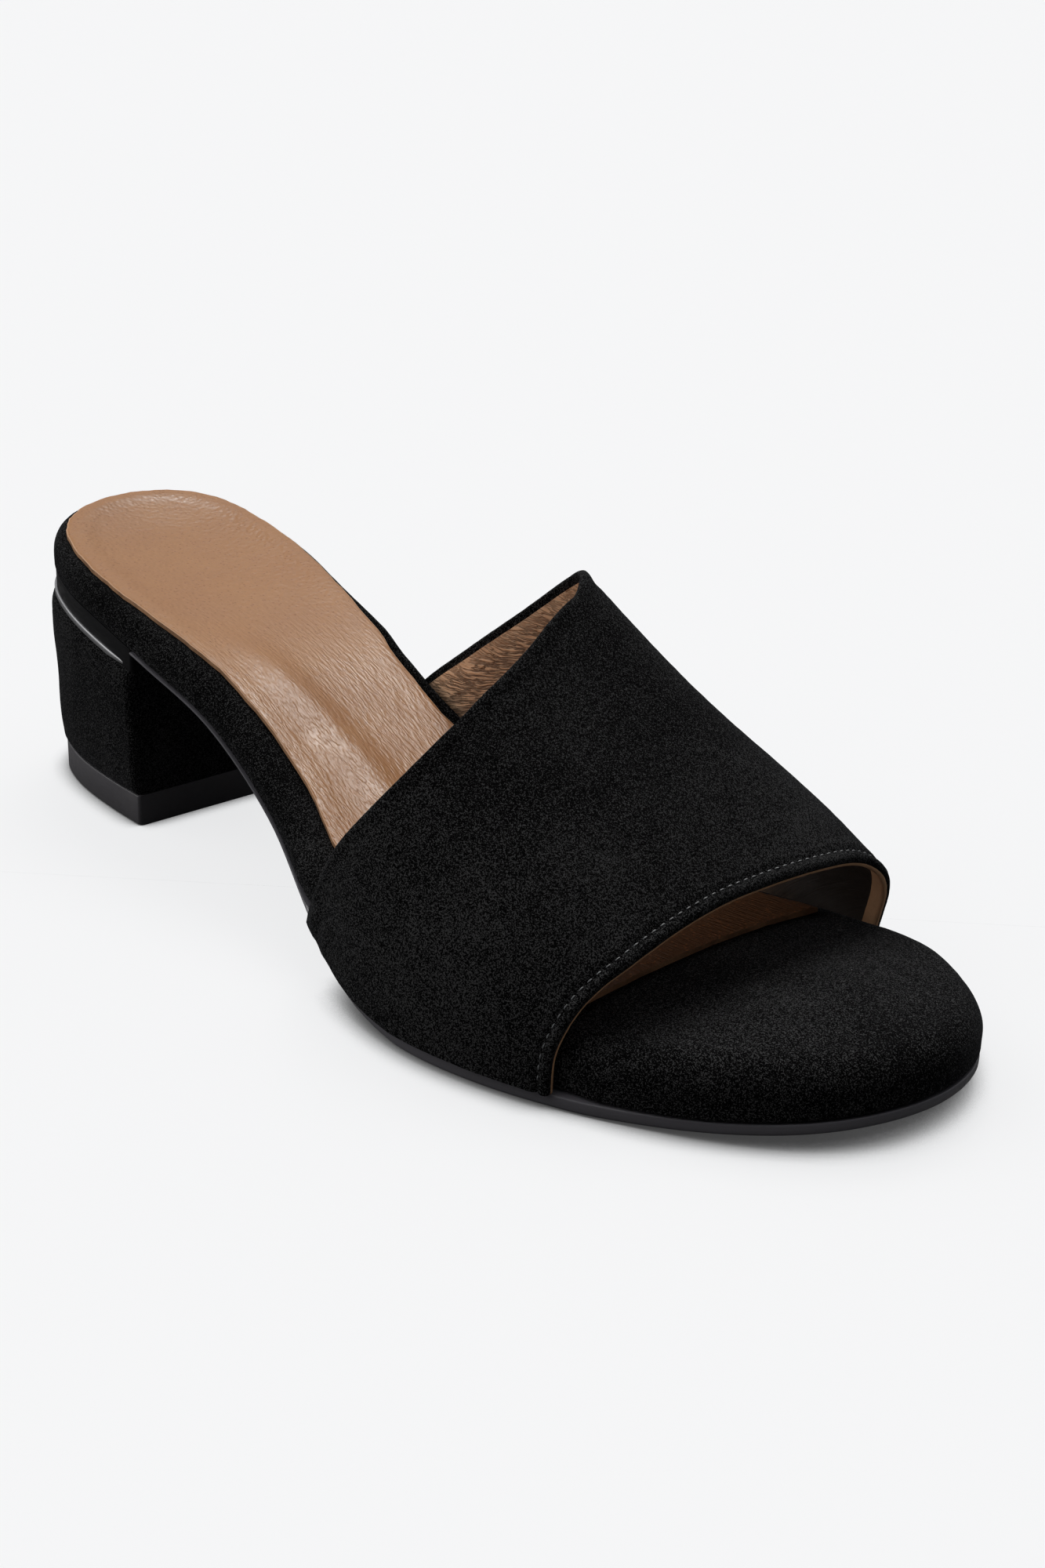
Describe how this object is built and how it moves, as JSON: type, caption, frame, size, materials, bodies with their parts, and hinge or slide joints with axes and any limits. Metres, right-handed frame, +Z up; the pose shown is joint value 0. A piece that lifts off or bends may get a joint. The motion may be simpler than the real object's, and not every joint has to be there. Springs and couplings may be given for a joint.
{
  "type": "block heel sandal",
  "caption": "Right-foot slip-on sandal with one wide band over the foot, open toe and back, rounded platform and a block heel.",
  "frame": {"origin": "on the floor, under the middle of the shoe's box", "axes": "+X from the heel to the toe, +Y to the inner side of the foot, +Z up"},
  "size_m": [0.2408, 0.0904, 0.0704],
  "materials": {
    "suede": "napped black suede",
    "sock_leather": "smooth tan leather with a soft sheen",
    "sole_rubber": "smooth matte black",
    "trim_metal": "satin"
  },
  "bodies": {
    "root": {"outsole": "sole_rubber", "footbed": "suede", "insole": "sock_leather", "upper": "suede", "heel_block": "suede", "heel_trim": "trim_metal", "heel_neck": "sole_rubber", "top_lift": "sole_rubber"}
  },
  "joints": []
}
